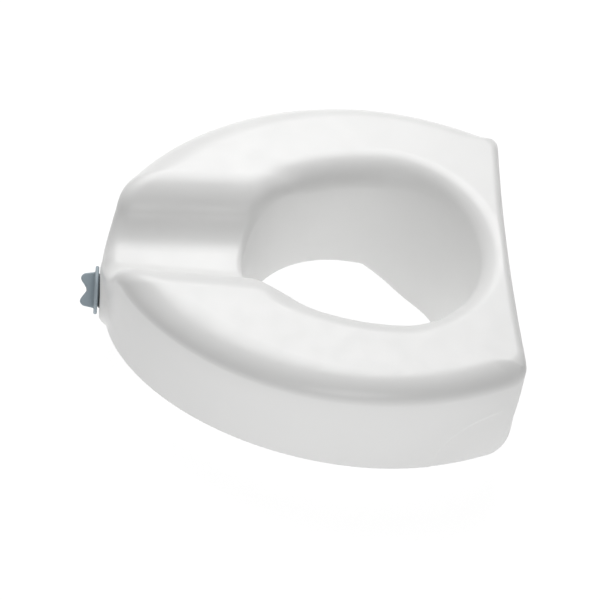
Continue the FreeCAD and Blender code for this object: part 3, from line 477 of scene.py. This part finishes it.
def noise(tree, scale, detail=3.0):
    """Noise over the piece's own place in the frame, so it doesn't swim when the view changes."""
    place = tree.nodes.new("ShaderNodeTexCoord")
    texture = tree.nodes.new("ShaderNodeTexNoise")
    texture.inputs["Scale"].default_value = scale
    texture.inputs["Detail"].default_value = detail
    tree.links.new(place.outputs["Object"], texture.inputs["Vector"])
    return texture.outputs["Fac"]


def ramp(tree, source, low, high, start=0.35, end=0.65):
    """Map a value between start and end onto the range from low to high."""
    node = tree.nodes.new("ShaderNodeMapRange")
    node.inputs["From Min"].default_value = start
    node.inputs["From Max"].default_value = end
    node.inputs["To Min"].default_value = low
    node.inputs["To Max"].default_value = high
    tree.links.new(source, node.inputs["Value"])
    return node.outputs["Result"]


def tint(tree, shader, source, dark, light):
    """Vary the base colour between two shades."""
    mix = tree.nodes.new("ShaderNodeMix")
    mix.data_type = "RGBA"
    mix.inputs["A"].default_value = (*dark, 1.0)
    mix.inputs["B"].default_value = (*light, 1.0)
    tree.links.new(source, mix.inputs["Factor"])
    tree.links.new(mix.outputs["Result"], shader.inputs["Base Color"])


def bumps(tree, shader, layers):
    """Stack bump layers of (height source, strength, distance in metres)."""
    last = None
    for source, strength, distance in layers:
        bump = tree.nodes.new("ShaderNodeBump")
        bump.inputs["Strength"].default_value = strength
        bump.inputs["Distance"].default_value = distance
        tree.links.new(source, bump.inputs["Height"])
        if last is not None:
            tree.links.new(last, bump.inputs["Normal"])
        last = bump.outputs["Normal"]
    tree.links.new(last, shader.inputs["Normal"])


def moulded(name, colour, roughness, spread=0.05, grain=900.0, grain_depth=0.00002, shade=0.97):
    """Moulded plastic: slightly uneven colour and gloss, a fine grain and slow waves from the mould."""
    material, tree, shader = new_material(name, colour, roughness)
    slow = noise(tree, 14.0, 2.0)
    fine = noise(tree, grain, 2.0)
    tint(tree, shader, ramp(tree, slow, 0.0, 1.0), tuple(c * shade for c in colour), colour)
    rough = ramp(tree, noise(tree, 55.0, 4.0), roughness - spread, roughness + spread)
    tree.links.new(rough, shader.inputs["Roughness"])
    bumps(tree, shader, [(slow, 0.25, 0.0004), (fine, 0.35, grain_depth)])
    shader.inputs["IOR"].default_value = 1.5
    return material


def metal(name, colour, roughness):
    """Bright steel with fine turned marks."""
    material, tree, shader = new_material(name, colour, roughness)
    shader.inputs["Metallic"].default_value = 1.0
    fine = noise(tree, 1800.0, 3.0)
    tint(tree, shader, ramp(tree, noise(tree, 300.0), 0.0, 1.0), tuple(c * 0.85 for c in colour), colour)
    tree.links.new(ramp(tree, fine, roughness - 0.06, roughness + 0.1), shader.inputs["Roughness"])
    bumps(tree, shader, [(fine, 0.3, 0.00001)])
    return material


def rubber(name, colour):
    """Matte rubber with a pebbled grain."""
    material, tree, shader = new_material(name, colour, 0.8)
    grain = noise(tree, 1400.0, 2.0)
    tint(tree, shader, ramp(tree, noise(tree, 120.0), 0.0, 1.0), tuple(c * 0.8 for c in colour), colour)
    tree.links.new(ramp(tree, grain, 0.7, 0.9), shader.inputs["Roughness"])
    bumps(tree, shader, [(grain, 0.5, 0.00006)])
    return material


def make_materials():
    return {
        "white_shell": moulded("white_shell", (0.85, 0.85, 0.843), 0.34, 0.05, 700.0, 0.000015, 0.985),
        "white_nylon": moulded("white_nylon", (0.72, 0.73, 0.71), 0.5, 0.06),
        "white_jaw": moulded("white_jaw", (0.78, 0.78, 0.76), 0.45, 0.06),
        "grey_nylon": moulded("grey_nylon", (0.27, 0.29, 0.30), 0.5, 0.06),
        "grey_blue_plastic": moulded(
            "grey_blue_plastic", (0.37, 0.44, 0.485), 0.5, 0.07, 1600.0, 0.00003, 0.9
        ),
        # near-black washer in the gap behind the knob's flange: its black is painted shade of that gap
        "dark_washer": moulded("dark_washer", (0.02, 0.022, 0.025), 0.5, 0.06),
        "grey_rubber": rubber("grey_rubber", (0.09, 0.095, 0.10)),
        "steel": metal("steel", (0.62, 0.63, 0.64), 0.28),
    }


def dress(materials, pieces):
    """Give every shown piece the material of its record slot."""
    slots = {entry["node"]: entry["material_slot"] for entry in frame["record"]["subparts"]}
    for name, node in frame["nodes"].items():
        node.data.materials.clear()
        node.data.materials.append(materials[slots[name]])
    for piece, slot in pieces:
        piece.data.materials.clear()
        piece.data.materials.append(materials[slot])


# ---------------------------------------------------------------- stage, light and camera
def area_light(name, place, aim, size, power):
    data = bpy.data.lights.new(name, "AREA")
    data.shape = "DISK"
    data.size = size
    data.energy = power
    lamp = bpy.data.objects.new(name, data)
    lamp.location = place
    lamp.rotation_euler = (Vector(aim) - Vector(place)).to_track_quat("-Z", "Y").to_euler()
    bpy.context.scene.collection.objects.link(lamp)


def dimmed(tree, output, bright, dim, start, end):
    """A strength that falls from bright to dim as a coordinate runs out along the object's length."""
    place = tree.nodes.new("ShaderNodeTexCoord")
    parts = tree.nodes.new("ShaderNodeSeparateXYZ")
    along = tree.nodes.new("ShaderNodeMath")
    along.operation = "ABSOLUTE"
    tree.links.new(place.outputs[output], parts.inputs["Vector"])
    tree.links.new(parts.outputs["Y"], along.inputs[0])
    return ramp(tree, along.outputs["Value"], bright, dim, start, end)


def make_floor(colour, bright, dim, run):
    """A wide flat matte floor with a glow of its own, level with the lowest point of the object."""
    bpy.ops.mesh.primitive_plane_add(size=12.0, location=(0, 0, cad_box[0][2]))
    panel = bpy.context.object
    panel.name = "studio_floor"
    material, tree, shader = new_material("studio_floor", colour, 0.9)
    shader.inputs["Specular IOR Level"].default_value = 0.0
    shader.inputs["Emission Color"].default_value = (1.0, 1.0, 1.0, 1.0)
    tree.links.new(dimmed(tree, "Object", bright, dim, *run), shader.inputs["Emission Strength"])
    panel.data.materials.append(material)


def make_sky(bright, dim, run):
    """Soft white light from all round, bright from the sides and above and dim from front and back."""
    world = bpy.data.worlds.new("studio")
    world.use_nodes = True
    tree = world.node_tree
    background = tree.nodes["Background"]
    background.inputs["Color"].default_value = (1.0, 1.0, 1.0, 1.0)
    tree.links.new(dimmed(tree, "Generated", bright, dim, *run), background.inputs["Strength"])
    bpy.context.scene.world = world


FLOOR_COLOUR = (0.15, 0.15, 0.15)
FLOOR_BRIGHT, FLOOR_DIM, FLOOR_RUN = 0.93, 0.65, (0.6, 1.3)  # the run is in metres
SKY_BRIGHT, SKY_DIM, SKY_RUN = 0.265, 0.05, (0.3, 0.75)  # the run is a share of the direction
LIGHT_AIM = (0, 0, 0.06)
KEY_PLACE, KEY_SIZE, KEY_POWER = (-0.95, -0.15, 1.65), 1.7, 31.0
FILL_PLACE, FILL_SIZE, FILL_POWER = (0.95, -0.05, 0.5), 0.45, 1.6


def make_stage():
    """A bright white floor, a soft sky, a key light from high behind and a small fill."""
    make_floor(FLOOR_COLOUR, FLOOR_BRIGHT, FLOOR_DIM, FLOOR_RUN)
    make_sky(SKY_BRIGHT, SKY_DIM, SKY_RUN)
    area_light("key", KEY_PLACE, LIGHT_AIM, KEY_SIZE, KEY_POWER)
    area_light("fill", FILL_PLACE, LIGHT_AIM, FILL_SIZE, FILL_POWER)


AZIMUTH, ELEVATION, ROLL = math.radians(82.32), math.radians(45.62), math.radians(-8.63)
FOCAL_RATIO = 3.650  # focal length over the width of the picture
DISTANCE = 2.12723
AIM_RIGHT, AIM_UP = -0.02733, -0.01963
AIM = Vector((0.0, -0.0244, 0.0615))


def make_camera():
    """A camera high to one side, turned a little about its own line of sight."""
    back = Vector(
        (
            math.sin(AZIMUTH) * math.cos(ELEVATION),
            -math.cos(AZIMUTH) * math.cos(ELEVATION),
            math.sin(ELEVATION),
        )
    )
    right = (-back).cross(Vector((0, 0, 1))).normalized()
    up = right.cross(-back)
    place = AIM + right * AIM_RIGHT + up * AIM_UP + back * DISTANCE
    rolled_right = right * math.cos(ROLL) - up * math.sin(ROLL)
    rolled_up = right * math.sin(ROLL) + up * math.cos(ROLL)
    data = bpy.data.cameras.new("camera")
    data.lens = FOCAL_RATIO * data.sensor_width
    camera = bpy.data.objects.new("camera", data)
    bpy.context.scene.collection.objects.link(camera)
    turn = Matrix((rolled_right, rolled_up, back)).transposed().to_4x4()
    camera.matrix_world = Matrix.Translation(place) @ turn
    bpy.context.scene.camera = camera


make_camera()
make_stage()
seat = make_seat()
knob = make_knob()
dress(make_materials(), [(seat, "white_shell"), (knob, "grey_blue_plastic")])
bpy.context.scene.view_settings.view_transform = "Standard"
